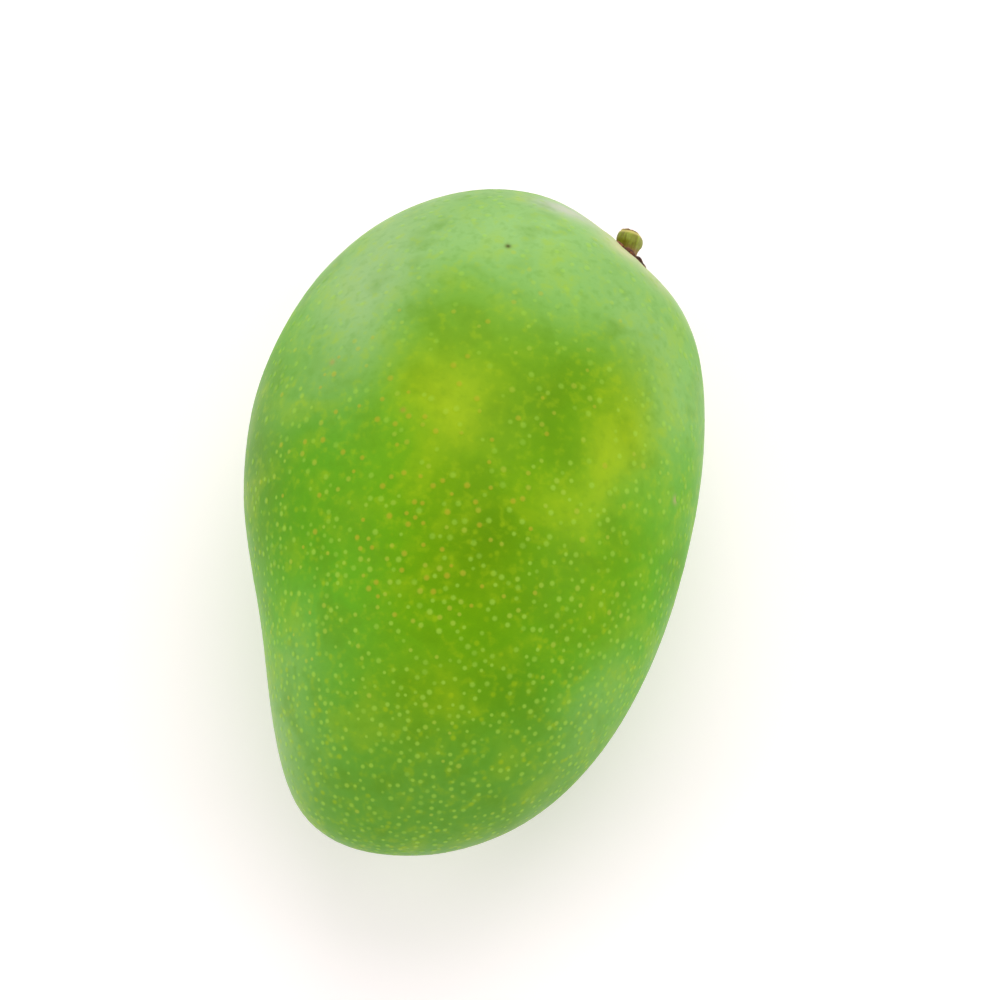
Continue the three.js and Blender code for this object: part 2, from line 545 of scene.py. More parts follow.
def build_skin(context):
    fruit = context.scene.mango_fruit
    stem = context.scene.mango_stem
    grower = Grower("mango_skin")
    tree = grower.tree
    form = form_inputs(grower, fruit)
    swell = grower.value("Swell", fruit.swell)
    dimple = grower.value("Dimple", fruit.dimple)
    pucker = grower.value("Pucker", fruit.pucker)
    shift = grower.value("Row shift", row_shift(fruit))
    seat = grower.value("Stem seat", stem_seat(fruit, stem))
    lean = grower.value("Ring lean", stem.ring_lean)
    ring = grower.value("Ring radius", stem.ring_outer + stem.knob_relief)
    ring_sunk = grower.value("Ring depth", stem.ring_sunk)

    # A block's surface drawn out to a ball, which has no poles.
    steps_x, steps_y, steps_z = SKIN_STEPS
    block = grower.node(
        "GeometryNodeMeshCube", Size=(2, 2, 2),
        Vertices_X=steps_x, Vertices_Y=steps_y, Vertices_Z=steps_z)
    evened = [tangent(part * (math.pi / 4)) for part in parts_of(tree, grower.position())]
    direction = vector_math(tree, "NORMALIZE", joined(tree, *evened))
    across, along, up = parts_of(tree, direction)
    point = joined(tree, *skin_point(form, across, along, up))
    mesh = grower.moved(block.outputs["Mesh"], vector_math(tree, "ADD", point, shift))

    # Broad swells, fine unevenness and the folds, collar and seat round the stem.
    place = grower.position()
    fold_place = 8.5 * MM
    fold_spread = 4.5 * MM
    collar_height = 0.12 * MM
    broad = (noise(tree, place, SWELLS, 1.0) - 0.5) * swell * 2
    fine = (noise(tree, place, DIMPLES, 2.0) - 0.5) * dimple * 2
    u, v, w = seat_frame(tree, place, seat, lean)
    off_axis = square_root(u * u + w * w)
    away = larger(off_axis, 0.1 * MM)
    round_stem = joined(tree, u / away, w / away, 0.3)
    folds = (noise(tree, round_stem, 2.6, 1.0) - 0.5) * pucker * 2
    near_stem = ramp(tree, v, -16 * MM, -7 * MM)
    folds = folds * bell(off_axis - fold_place, fold_spread)
    collar = collar_height * bell(off_axis - ring - 0.8 * MM, 0.7 * MM)
    dug = -1 * ring_sunk * ramp(tree, off_axis, ring + 0.3 * MM, ring - 0.5 * MM)
    away_from_stem = 1 - near_stem * ramp(tree, off_axis, 14 * MM, 6 * MM)
    height = broad * away_from_stem + fine + near_stem * (folds + collar + dug)
    mesh = grower.raised(mesh, height)

    # The spot that it lies on.
    x, y, z = parts_of(tree, grower.position())
    mesh = grower.moved(mesh, joined(tree, x, y, larger(z, 0.0)))
    grower.finish(mesh, skin_material(context))
    piece = grower.grow()
    settle(piece, "fruit")
    return piece


DOTS_PER_SQUARE_METRE = 600000
DOT_SIDES = 8

# How near the stem no dot grows, and from where on they are as many as elsewhere.
BARE_REACH = 7 * MM
FULL_REACH = 14 * MM

# What is added to the seed for each of the dots' own random draws.
SIZE_DRAW = 5
TINT_DRAW = 9


def build_dots(context):
    fruit = context.scene.mango_fruit
    stem = context.scene.mango_stem
    dots = context.scene.mango_dots
    grower = Grower("lenticels", takes_mesh=True)
    tree = grower.tree
    spacing = grower.value("Spacing", dots.spacing)
    radius = grower.value("Radius", dots.radius)
    height = grower.value("Height share", dots.height)
    seed = grower.value("Seed", dots.seed)
    seat = grower.value("Stem seat", stem_seat(fruit, stem))
    lean = grower.value("Ring lean", stem.ring_lean)
    half = grower.value("Half length", fruit.length / 2)

    # Dots stand closer towards the apex, and none grows on the calyx seat or the resting spot.
    place = grower.position()
    along, up = parts_of(tree, place)[1:]
    towards_apex = ramp(tree, along / half, 0.55, -0.75)
    u, v, w = seat_frame(tree, place, seat, lean)
    clear = ramp(tree, square_root(u * u + w * w + v * v), BARE_REACH, FULL_REACH)
    off_floor = ramp(tree, up, 0.25 * MM, 0.6 * MM)
    uneven = ramp(tree, noise(tree, place, 60, 2.0), 0.25, 0.6)
    density = (0.3 + 0.7 * towards_apex) * (0.7 + 0.3 * uneven) * clear * off_floor
    scatter = grower.node("GeometryNodeDistributePointsOnFaces")
    scatter.distribute_method = "POISSON"
    tree.links.new(grower.start.outputs["Mesh"], scatter.inputs["Mesh"])
    plug(tree, spacing, scatter.inputs["Distance Min"])
    scatter.inputs["Density Max"].default_value = DOTS_PER_SQUARE_METRE
    plug(tree, density, scatter.inputs["Density Factor"])
    plug(tree, seed, scatter.inputs["Seed"])

    # One dot: a low dome that meets the skin at its shoulder and is closed below it.
    shoulder = 0.85
    cone = grower.node(
        "GeometryNodeMeshCone", Vertices=DOT_SIDES, Side_Segments=1, Fill_Segments=1,
        Radius_Top=shoulder, Radius_Bottom=1.0, Depth=1.0)
    cone.fill_type = "TRIANGLE_FAN"
    cx, cy, cz = parts_of(tree, grower.position())
    crown = 1 - (cx * cx + cy * cy) / shoulder ** 2
    dome = grower.moved(cone.outputs["Mesh"], joined(tree, cx, cy, cz * crown + cz - 1))
    dome = grower.stored(dome, "fade", larger(cz, 0.0))

    size = grower.node("FunctionNodeRandomValue")
    size.data_type = "FLOAT"
    plug(tree, seed + SIZE_DRAW, size.inputs["Seed"])
    chance = Term(tree, size.outputs[1])
    smaller_at_apex = 0.85 + 0.15 * ramp(tree, along / half, -0.9, 0.1)
    wide = radius * (0.6 + 0.4 * chance) * smaller_at_apex
    sizes = joined(tree, wide, wide, wide * height)
    placed = grower.node(
        "GeometryNodeInstanceOnPoints", Points=scatter.outputs["Points"], Instance=dome)
    plug(tree, scatter.outputs["Rotation"], placed.inputs["Rotation"])
    plug(tree, sizes, placed.inputs["Scale"])
    tint = grower.node("FunctionNodeRandomValue")
    tint.data_type = "FLOAT"
    plug(tree, seed + TINT_DRAW, tint.inputs["Seed"])
    marked = grower.stored(placed.outputs[0], "tint", Term(tree, tint.outputs[1]), "INSTANCE")
    grower.finish(marked, dot_material(context))
    skin = bpy.data.objects["mango_skin"]
    piece = grower.grow(skin.data.copy())
    settle(piece, None)
    return piece


# How finely the ring is divided along its round and round its section.
RING_STEPS = 216
SECTION_STEPS = 52


def build_ring(context):
    fruit = context.scene.mango_fruit
    stem = context.scene.mango_stem
    grower = Grower("calyx_knobs")
    tree = grower.tree
    outer = grower.value("Outer radius", stem.ring_outer)
    inner = grower.value("Inner radius", stem.ring_inner)
    proud = grower.value("Height", stem.ring_proud)
    sunk = grower.value("Depth", stem.ring_sunk)
    relief = grower.value("Knob relief", stem.knob_relief)
    knobs = grower.value("Knobs", stem.knobs)
    lean = grower.value("Lean", stem.ring_lean)
    seat = grower.value("Stem seat", stem_seat(fruit, stem))
    middle = (outer + inner) / 2
    half = (outer - inner) / 2

    path = grower.node("GeometryNodeCurvePrimitiveCircle", Resolution=RING_STEPS)
    plug(tree, middle, path.inputs["Radius"])
    section = grower.node("GeometryNodeCurvePrimitiveCircle", Resolution=SECTION_STEPS)
    plug(tree, half, section.inputs["Radius"])
    tube = grower.node(
        "GeometryNodeCurveToMesh", Curve=path.outputs[0], Profile_Curve=section.outputs[0])

    # Lumpy knobs with sharp clefts between them.
    x, y, z = parts_of(tree, grower.position())
    out = square_root(x * x + y * y)
    round_ring = joined(tree, x / out, y / out, 0.0)
    waver = (noise(tree, round_ring, 1.7, 1.0) - 0.5) * 2
    angle = angle_of(y, x)
    lobe = power(size_of(cosine(angle * knobs / 2 + waver * 0.9)), 0.6)
    outward = ramp(tree, (out - middle) / half, -1.0, 1.0)
    swing = (1.6 * lobe - 1) + 0.8 * waver
    wide = out + relief * smaller(swing, 1.0) * outward
    over = larger(z / half, 0.0) * proud * (0.72 + 0.33 * smaller(swing, 1.0))
    under = smaller(z / half, 0.0) * sunk
    shaped = joined(tree, x / out * wide, y / out * wide, over + under)
    mesh = grower.moved(tube.outputs[0], shaped)

    # Corky grain and cracks.
    place = grower.position()
    grain = (noise(tree, place, 950, 3.0, 0.6) - 0.5) * 0.26 * MM
    cracks = ramp(tree, cells(tree, place, 760, "DISTANCE_TO_EDGE"), 0.09, 0.0) * -0.12 * MM
    mesh = grower.raised(mesh, grain + cracks)
    grower.finish(onto_seat(grower, mesh, seat, lean), cork_material(context))
    piece = grower.grow()
    settle(piece, "calyx_ring")
    return piece


# The stem's radius and height along its outline, from the middle of its foot to the middle of its
# broken end, as shares of the head's radius and of the whole length.
STEM_RADII = (
    (0, 0), (0.08, 0.74), (0.15, 0.77), (0.4, 0.77), (0.5, 0.77), (0.6, 0.87), (0.7, 1.0),
    (0.8, 0.98), (0.88, 0.84), (0.95, 0.55), (1, 0))
STEM_HEIGHTS = (
    (0, 0), (0.08, 0.01), (0.15, 0.08), (0.4, 0.46), (0.5, 0.571), (0.6, 0.657), (0.7, 0.753),
    (0.8, 0.828), (0.88, 0.903), (0.95, 0.962), (1, 1))

# How finely the stem is divided round its axis and along its outline, and its ribs.
STEM_STEPS = 96
STEM_RINGS = 90
STEM_RIBS = 7


def outline(tree, value, points):
    """A smooth curve through the points at a value from 0 to 1, as a term."""
    node = tree.nodes.new("ShaderNodeFloatCurve")
    curve = node.mapping.curves[0]
    curve.points[0].location = points[0]
    curve.points[1].location = points[-1]
    for point in points[1:-1]:
        curve.points.new(*point)
    node.mapping.update()
    plug(tree, value, node.inputs["Value"])
    return Term(tree, node.outputs[0])


def build_stem(context):
    fruit = context.scene.mango_fruit
    stem = context.scene.mango_stem
    grower = Grower("stem_stub")
    tree = grower.tree
    head = grower.value("Head radius", stem.head)
    stub = grower.value("Stub length", stem.stub)
    sunk = grower.value("Stub depth", stem.sunk)
    bend = grower.value("Bend", stem.bend)
    end_fall = grower.value("End fall", stem.fall)
    relief = grower.value("Rib relief", stem.rib_relief)
    lean = grower.value("Lean", stem.lean)
    seat = grower.value("Stem seat", stem_seat(fruit, stem))
    ball = grower.node(
        "GeometryNodeMeshUVSphere", Segments=STEM_STEPS, Rings=STEM_RINGS, Radius=1.0)
    x, y, z = parts_of(tree, grower.position())
    share = 1 - arc_cosine(smaller(larger(z, -1.0), 1.0)) / math.pi
    angle = angle_of(y, x)
    radius = outline(tree, share, STEM_RADII) * head
    height = outline(tree, share, STEM_HEIGHTS) * (stub + sunk) - sunk
    rise = larger(height, 0.0) / stub
    outwards = joined(tree, cosine(angle), sine(angle), height * 90)
    ridges = (noise(tree, outwards, 3.4, 2.0) - 0.5) * 3 + cosine(angle * STEM_RIBS)
    body = ramp(tree, share, 0.93, 0.8)
    ribbed = radius + relief * ridges * body * ramp(tree, share, 0.0, 0.15)
    slant = -1 * end_fall * ribbed * cosine(angle) * rise * rise * rise
    bent = ribbed * cosine(angle) - bend * rise * rise
    shaped = joined(tree, bent, ribbed * sine(angle), height + slant)
    mesh = grower.moved(ball.outputs["Mesh"], shaped)

    # The corky, torn end.
    place = grower.position()
    torn = ramp(tree, parts_of(tree, place)[2], 0.72 * stub, 0.9 * stub)
    lumps = (noise(tree, place, 900, 3.0, 0.6) - 0.5) * 0.5 * MM
    clefts = ramp(tree, cells(tree, place, 620, "DISTANCE_TO_EDGE"), 0.1, 0.0) * -0.16 * MM
    grain = (noise(tree, place, 1500, 2.0) - 0.5) * 0.05 * MM
    mesh = grower.raised(mesh, (lumps + clefts) * torn + grain)
    grower.finish(onto_seat(grower, mesh, seat, lean), stem_material(context))
    piece = grower.grow()
    settle(piece, "stem")
    return piece


# Finishes. Places in the patterns are in millimetres in the part's frame.

def millimetre_place(tree):
    """Object coordinates in millimetres."""
    coordinates = tree.nodes.new("ShaderNodeTexCoord")
    return scaled(tree, coordinates.outputs["Object"], 1 / MM)


def seat_in_millimetres(context):
    """The stem's seat, for the patterns round the stem."""
    seat = stem_seat(context.scene.mango_fruit, context.scene.mango_stem)
    return tuple(seat / MM)


def new_material(name):
    """A material and its Principled node, ready for its colours."""
    material = bpy.data.materials.new(name)
    material.use_nodes = True
    return material, material.node_tree.nodes["Principled BSDF"]


def spot(tree, place, centre, reach):
    """1 in the middle of a soft egg-shaped patch and 0 outside it."""
    from_centre = vector_math(tree, "SUBTRACT", place, centre)
    shares = vector_math(tree, "DIVIDE", from_centre, reach)
    length = tree.nodes.new("ShaderNodeVectorMath")
    length.operation = "LENGTH"
    tree.links.new(shares, length.inputs[0])
    return bell(Term(tree, length.outputs["Value"]), 0.7)


# The colours that the skin's ground is mixed from, by their names in MangoColours.
GROUND_COLOURS = ("green", "deep", "yellow", "bright", "olive", "pale", "apex", "grey", "dry")

# Soft patches of the skin's ground colour, some of them painted sheen, highlight and shade: colour,
# centre, reach and strength.
PATCHES = (
    # Painted shade on the left flank.
    ("deep", (-36, 4, 44), (20, 26, 22), 0.85),
    ("deep", (14, -31, 58), (13, 16, 14), 0.75),
    # Painted shade on the underside, where the fruit lies on the floor.
    ("deep", (2, -10, 4), (34, 44, 22), 0.6),
    # These pale patches on top and along the limbs are painted sheen over real bloom.
    ("pale", (-24, 28, 55), (22, 26, 22), 0.5),
    ("pale", (2, 46, 52), (34, 22, 26), 0.65),
    ("pale", (32, 26, 50), (14, 26, 20), 0.4),
    ("pale", (20, 34, 54), (16, 16, 16), 0.4),
    ("pale", (-33, -34, 38), (7, 30, 16), 0.15),
    ("pale", (-26, -50, 34), (15, 18, 16), 0.5),
    ("pale", (-24, -34, 48), (12, 16, 14), 0.25),
    ("pale", (29, -32, 45), (12, 20, 14), 0.25),
    ("yellow", (0, 12, 66), (24, 30, 24), 0.9),
    ("yellow", (4, -14, 65), (22, 24, 20), 0.7),
    ("yellow", (0, -36, 58), (15, 14, 14), 0.75),
    ("yellow", (25, -13, 60), (14, 18, 16), 0.5),
    ("yellow", (23, 20, 60), (12, 18, 14), 0.6),
    ("bright", (-6, 13, 66), (11, 11, 12), 0.75),
    ("bright", (26, 13, 59), (8, 15, 12), 0.75),
    ("bright", (19, 0, 62), (12, 10, 12), 0.5),
    ("olive", (13, 16, 64), (11, 13, 12), 0.85),
    ("olive", (30, -2, 55), (4, 11, 10), 0.6),
    ("olive", (6, -11, 65), (16, 13, 12), 0.9),
    ("yellow", (0, 27, 62), (20, 12, 14), 0.35),
    # Painted sheen at the upper left limb.
    ("grey", (-22, 36, 50), (16, 24, 18), 0.25),
)

# Small patches at the limb, whose edges don't waver, the grey one a painted highlight: colour, centre,
# reach and strength.
STRIPS = (
    # A painted highlight on the shoulder beside the stem, over dull bloom.
    ("grey", (9, 55.6, 46), (10, 3.8, 6), 1.0),
    ("dry", (18.5, 50.5, 46), (6.5, 4, 5), 0.9),
    ("dry", (26, 46.5, 44), (6, 3.5, 5), 0.45),
)


# How far the ground's patches waver, and what sets the turning noise apart from the blotches.
WAVER = 16.0
TURNING_SHIFT = (40, 7, 13)

# The brown skin right beside the calyx ring.
WOUND = paint(132, 88, 44)


def patched(tree, place, softly, used):
    """The ground's colour with its blotches, its grey apex and its patches."""
    along = parts_of(tree, softly)[1]
    blotches = ramp(tree, noise(tree, place, 0.028, 1.0), 0.42, 0.68)
    colour = mixed(tree, blotches * 0.3, used["green"], used["deep"])
    elsewhere = vector_math(tree, "ADD", place, TURNING_SHIFT)
    turning = ramp(tree, noise(tree, elsewhere, 0.03, 1.0), 0.55, 0.75)
    colour = mixed(tree, turning * 0.35, colour, used["yellow"])
    colour = mixed(tree, ramp(tree, along, -20.0, -54.0) * 0.8, colour, used["apex"])
    for key, centre, reach, strength in PATCHES:
        colour = mixed(tree, spot(tree, softly, centre, reach) * strength, colour, used[key])
    for key, centre, reach, strength in STRIPS:
        colour = mixed(tree, spot(tree, place, centre, reach) * strength, colour, used[key])
    return colour


def mottled(tree, place, softly, colour, used):
    """A colour with cloudy mottling and soft pores, thickest at the apex. Returns the pores too."""
    clouds = noise(tree, softly, 0.13, 2.0)
    colour = mixed(tree, ramp(tree, clouds, 0.5, 0.72) * 0.32, colour, used["olive"])
    colour = mixed(tree, ramp(tree, clouds, 0.5, 0.28) * 0.22, colour, used["bright"])
    mottle = noise(tree, place, 0.55, 2.0)
    colour = mixed(tree, ramp(tree, mottle, 0.5, 0.75) * 0.28, colour, used["bright"])
    colour = mixed(tree, ramp(tree, mottle, 0.5, 0.25) * 0.2, colour, used["deep"])
    thick = 0.3 + 0.7 * ramp(tree, parts_of(tree, softly)[1], 20.0, -45.0)
    pores = ramp(tree, cells(tree, place, 0.42), 0.3, 0.08)
    pores = pores * thick * ramp(tree, noise(tree, place, 0.3, 1.0), 0.3, 0.6)
    return mixed(tree, pores * 0.5, colour, used["bright"]), pores


def dried_round_stem(context, tree, place, colour, used):
    """A colour with bloomed, dry and brown skin round the stem. Returns how dry it is too."""
    lean = context.scene.mango_stem.ring_lean
    u, v, w = seat_frame(tree, place, seat_in_millimetres(context), lean)
    off_axis = square_root(u * u + w * w)
    on_top = ramp(tree, v, -9.0, -5.0)
    away = larger(off_axis, 0.1)
    streaks = noise(tree, joined(tree, u / away, w / away, off_axis * 0.03), 5.0, 1.0) - 0.5
    bloomed = ramp(tree, off_axis + streaks * 8, 26.0, 9.0) * on_top
    colour = mixed(tree, bloomed * 0.4, colour, used["pale"])
    dry = ramp(tree, off_axis + streaks * 6, 15.0, 7.5) * on_top
    colour = mixed(tree, dry * 0.65, colour, used["dry"])
    wound = ramp(tree, off_axis + streaks * 2, 7.0, 5.4) * on_top
    return mixed(tree, wound * 0.75, colour, WOUND), dry


def skin_ground(context):
    """The node group of the skin's ground: its colour, and masks of bloom, pores and dryness."""
    name = "Skin ground"
    if name in bpy.data.node_groups:
        return bpy.data.node_groups[name]
    colours = context.scene.mango_colours
    tree = bpy.data.node_groups.new(name, "ShaderNodeTree")
    face = tree.interface
    for key in GROUND_COLOURS:
        socket = face.new_socket(key.capitalize(), in_out="INPUT", socket_type="NodeSocketColor")
        socket.default_value = getattr(colours, key)
    face.new_socket("Colour", in_out="OUTPUT", socket_type="NodeSocketColor")
    for label in ("Bloom", "Pores", "Dry"):
        face.new_socket(label, in_out="OUTPUT", socket_type="NodeSocketFloat")
    start = tree.nodes.new("NodeGroupInput")
    used = {key: start.outputs[key.capitalize()] for key in GROUND_COLOURS}

    place = millimetre_place(tree)
    waver = vector_math(tree, "SUBTRACT", noise_vector(tree, place, 0.045), (0.5, 0.5, 0.5))
    softly = vector_math(tree, "ADD", place, scaled(tree, waver, WAVER))
    colour = patched(tree, place, softly, used)
    colour, pores = mottled(tree, place, softly, colour, used)
    colour, dry = dried_round_stem(context, tree, place, colour, used)
    bloom = ramp(tree, noise(tree, place, 0.07, 1.0), 0.35, 0.7)

    end = tree.nodes.new("NodeGroupOutput")
    tree.links.new(colour, end.inputs["Colour"])
    for label, term in (("Bloom", bloom), ("Pores", pores), ("Dry", dry)):
        tree.links.new(term.socket, end.inputs[label])
    return tree


def place_group(tree, group):
    node = tree.nodes.new("ShaderNodeGroup")
    node.node_tree = group
    return node


def wax(shader):
    """The smooth waxy surface that the skin and its dots share."""
    shader.inputs["IOR"].default_value = 1.45
    shader.inputs["Specular IOR Level"].default_value = 0.08
    shader.inputs["Coat Weight"].default_value = 0.04
    shader.inputs["Coat Roughness"].default_value = 0.3


def roughen(tree, shader, height, distance, strength):
    """A bump from a height, for a distance in millimetres."""
    bump = tree.nodes.new("ShaderNodeBump")
    bump.inputs["Strength"].default_value = strength
    bump.inputs["Distance"].default_value = distance * MM
    plug(tree, height, bump.inputs["Height"])
    tree.links.new(bump.outputs["Normal"], shader.inputs["Normal"])


# Small marks on the skin: place, reach, colour and strength.
MARKS = (
    ((-0.1, 43.6, 57.9), 0.75, (70, 66, 30), 0.9),
    ((-25.8, 17.5, 58.1), 0.8, (180, 146, 84), 0.5),
    ((-11.7, 9.6, 65.0), 0.7, (178, 140, 60), 0.5),
    ((36.2, 7.1, 47.9), 1.1, (186, 160, 120), 0.6),
    ((-30.0, -20.0, 18.0), 1.3, (120, 100, 50), 0.8),
    ((22.0, 20.0, 8.0), 0.9, (90, 76, 36), 0.8),
    ((-3.5, -59.9, 29.0), 1.1, (96, 66, 30), 0.9),
)


def skin_material(context):
    material, shader = new_material("Mango skin")
    tree = material.node_tree
    ground = place_group(tree, skin_ground(context))
    place = millimetre_place(tree)
    colour = ground.outputs["Colour"]

    for centre, reach, mark, strength in MARKS:
        fleck = spot(tree, place, centre, (reach, reach, reach))
        colour = mixed(tree, fleck * strength, colour, paint(*mark))
    tree.links.new(colour, shader.inputs["Base Color"])
    bloom = Term(tree, ground.outputs["Bloom"])
    pores = Term(tree, ground.outputs["Pores"])
    dry = Term(tree, ground.outputs["Dry"])
    plug(tree, 0.34 + 0.12 * bloom + 0.06 * pores + 0.2 * dry, shader.inputs["Roughness"])
    wax(shader)
    roughen(tree, shader, noise(tree, place, 1.7, 2.0), 0.12, 0.25)
    return material


def dot_material(context):
    colours = context.scene.mango_colours
    material, shader = new_material("Skin dots")
    tree = material.node_tree
    ground = place_group(tree, skin_ground(context))
    place = millimetre_place(tree)
    marks = {}
    for label in ("fade", "tint"):
        node = tree.nodes.new("ShaderNodeAttribute")
        node.attribute_name = label
        marks[label] = Term(tree, node.outputs["Fac"])
    warm_side = spot(tree, place, (-6, 6, 62), (34, 40, 26))
    warm = ramp(tree, marks["tint"] + warm_side * 0.7, 0.85, 1.25)
    dot = mixed(tree, warm, tuple(colours.dot), tuple(colours.warm_dot))
    core = ramp(tree, marks["fade"], 0.0, 0.66)
    strong = 0.6 + 0.4 * ramp(tree, parts_of(tree, place)[1], 40.0, -20.0)
    vivid = core * strong * (0.3 + 0.28 * ramp(tree, marks["tint"], 0.0, 0.8))
    colour = mixed(tree, vivid, ground.outputs["Colour"], dot)
    tree.links.new(colour, shader.inputs["Base Color"])
    bloom = Term(tree, ground.outputs["Bloom"])
    plug(tree, 0.36 + 0.12 * bloom + 0.1 * core, shader.inputs["Roughness"])
    wax(shader)
    return material


def cork_grain():
    """The node group for dry corky tissue: how dark the cracks are, and its grain as height."""
    name = "Corky grain"
    if name in bpy.data.node_groups:
        return bpy.data.node_groups[name]
    tree = bpy.data.node_groups.new(name, "ShaderNodeTree")
    face = tree.interface
    scale = face.new_socket("Grain per millimetre", in_out="INPUT", socket_type="NodeSocketFloat")
    scale.default_value = 1.0
    face.new_socket("Cracks", in_out="OUTPUT", socket_type="NodeSocketFloat")
    face.new_socket("Lumps", in_out="OUTPUT", socket_type="NodeSocketFloat")
    face.new_socket("Height", in_out="OUTPUT", socket_type="NodeSocketFloat")
    start = tree.nodes.new("NodeGroupInput")
    finely = scaled(tree, millimetre_place(tree), Term(tree, start.outputs[0]))
    cracks = ramp(tree, cells(tree, finely, 0.76, "DISTANCE_TO_EDGE"), 0.12, 0.0)
    lumps = noise(tree, finely, 0.95, 3.0, 0.6)
    height = noise(tree, finely, 5.0, 3.0, 0.65) - cracks * 0.6
    end = tree.nodes.new("NodeGroupOutput")
    for label, term in (("Cracks", cracks), ("Lumps", lumps), ("Height", height)):
        tree.links.new(term.socket, end.inputs[label])
    return tree


# The cork's lighter and darker tissue, beside its colours in MangoColours.
CORK_CREST = paint(176, 112, 44)
CORK_HOLLOW = paint(40, 18, 8)
CORK_CRACK = paint(24, 10, 5)


def cork_material(context):
    lean = context.scene.mango_stem.ring_lean
    colours = context.scene.mango_colours
    material, shader = new_material("Calyx cork")
    tree = material.node_tree
    grain = place_group(tree, cork_grain())
    place = millimetre_place(tree)
    u, v, w = seat_frame(tree, place, seat_in_millimetres(context), lean)
    out = square_root(u * u + w * w)
    lumps = Term(tree, grain.outputs["Lumps"])
    cracks = Term(tree, grain.outputs["Cracks"])
    redder = ramp(tree, noise(tree, place, 0.3, 2.0), 0.42, 0.62)
    colour = mixed(tree, redder, tuple(colours.cork), tuple(colours.red_cork))
    colour = mixed(tree, ramp(tree, lumps, 0.52, 0.72) * 0.7, colour, CORK_CREST)
    colour = mixed(tree, ramp(tree, lumps, 0.48, 0.3) * 0.8, colour, CORK_HOLLOW)
    edge = ramp(tree, out + (lumps - 0.5) * 1.2, 4.5, 5.1) * ramp(tree, v, 0.9, 0.1)
    colour = mixed(tree, edge * 0.85, colour, tuple(colours.rim))
    colour = mixed(tree, cracks * 0.85, colour, CORK_CRACK)
    tree.links.new(colour, shader.inputs["Base Color"])
    plug(tree, 0.7 + 0.2 * lumps, shader.inputs["Roughness"])
    roughen(tree, shader, grain.outputs["Height"], 0.15, 0.6)
    return material


# The stem's tissue, beside its colours in MangoColours: on its side and foot, then on its end.
STALK_GROOVE = paint(122, 124, 10)
# The paler fibre colour is a painted highlight along the stem's ridges.
STALK_FIBRE_HIGHLIGHT = paint(172, 176, 50)
STALK_FLECK = paint(110, 70, 20)
STALK_FOOT = paint(134, 82, 22)
END_RIM = paint(212, 196, 106)
END_DARK = paint(112, 66, 34)
END_FIBRE = paint(204, 162, 112)
END_CRACK = paint(64, 36, 14)


def stem_material(context):
    stem = context.scene.mango_stem
    colours = context.scene.mango_colours
    material, shader = new_material("Stem")
    tree = material.node_tree
    grain = place_group(tree, cork_grain())
    place = millimetre_place(tree)
    u, v, w = seat_frame(tree, place, seat_in_millimetres(context), stem.lean)
    lumps = Term(tree, grain.outputs["Lumps"])
    cracks = Term(tree, grain.outputs["Cracks"])
    along = joined(tree, u, v * 0.16, w)
    fibres = noise(tree, along, 2.3, 3.0)
    colour = mixed(tree, ramp(tree, fibres, 0.35, 0.68), STALK_GROOVE, tuple(colours.stalk))
    # Painted highlight on the paler fibres.
    colour = mixed(tree, ramp(tree, fibres, 0.6, 0.75) * 0.4, colour, STALK_FIBRE_HIGHLIGHT)
    flecks = ramp(tree, lumps, 0.6, 0.7) * ramp(tree, fibres, 0.55, 0.35)
    colour = mixed(tree, flecks * 0.5, colour, STALK_FLECK)
    waver = (lumps - 0.5) * 1.4
    foot = ramp(tree, v + waver, 2.2, 0.7)
    colour = mixed(tree, foot * 0.85, colour, STALK_FOOT)
    tip = stem.stub / MM
    line = bell(v + waver * 0.3 - tip * 0.81, 0.3)
    colour = mixed(tree, line * 0.8, colour, END_RIM)
    end = ramp(tree, v + waver * 0.5, tip * 0.83, tip * 0.89)
    dry = mixed(tree, ramp(tree, lumps, 0.4, 0.6), END_DARK, tuple(colours.broken))
    dry = mixed(tree, ramp(tree, fibres, 0.55, 0.7) * 0.6, dry, END_FIBRE)
    dry = mixed(tree, cracks * 0.7, dry, END_CRACK)
    colour = mixed(tree, end, colour, dry)
    tree.links.new(colour, shader.inputs["Base Color"])
    plug(tree, 0.5 + 0.35 * end, shader.inputs["Roughness"])
    torn = Term(tree, grain.outputs["Height"]) * end
    roughen(tree, shader, fibres * 0.7 + torn, 0.14, 0.6)
    return material


# The stage.

FLOOR_COLOUR = (0.96, 0.88, 0.89, 1)
FLOOR_GLOW = (1, 0.97, 0.975, 1)
FLOOR_GLOW_STRENGTH = 0.23

# The world is white at the horizon and this grey overhead.
ZENITH = (0.42, 0.42, 0.42, 1)

# The soft lights: name, angle round and angle above in degrees, distance, size and watts.
LIGHTS = (
    ("key", 180, 55, 1.1, 0.9, 5.4),
    ("left", 285, 38, 1.0, 0.6, 1.7),
    ("right", 95, 40, 1.0, 0.6, 1.5),
)
LIGHTS_AIM = Vector((0, 0, 30 * MM))


def build_floor():
    mesh = bpy.data.meshes.new("floor")
    reach = 4.0
    corners = [(-reach, -reach, 0), (reach, -reach, 0), (reach, reach, 0), (-reach, reach, 0)]
    mesh.from_pydata(corners, [], [(0, 1, 2, 3)])
    floor = bpy.data.objects.new("floor", mesh)
    bpy.context.scene.collection.objects.link(floor)
    material, shader = new_material("Pale floor")
    shader.inputs["Base Color"].default_value = FLOOR_COLOUR
    shader.inputs["Roughness"].default_value = 0.8
    shader.inputs["Emission Color"].default_value = FLOOR_GLOW
    shader.inputs["Emission Strength"].default_value = FLOOR_GLOW_STRENGTH
    mesh.materials.append(material)


def facing(azimuth, elevation):
    """The direction from the object to a camera at these angles, in degrees."""
    around = math.radians(azimuth)
    above = math.radians(elevation)
    return Vector((
        math.sin(around) * math.cos(above), -math.cos(around) * math.cos(above), math.sin(above)))


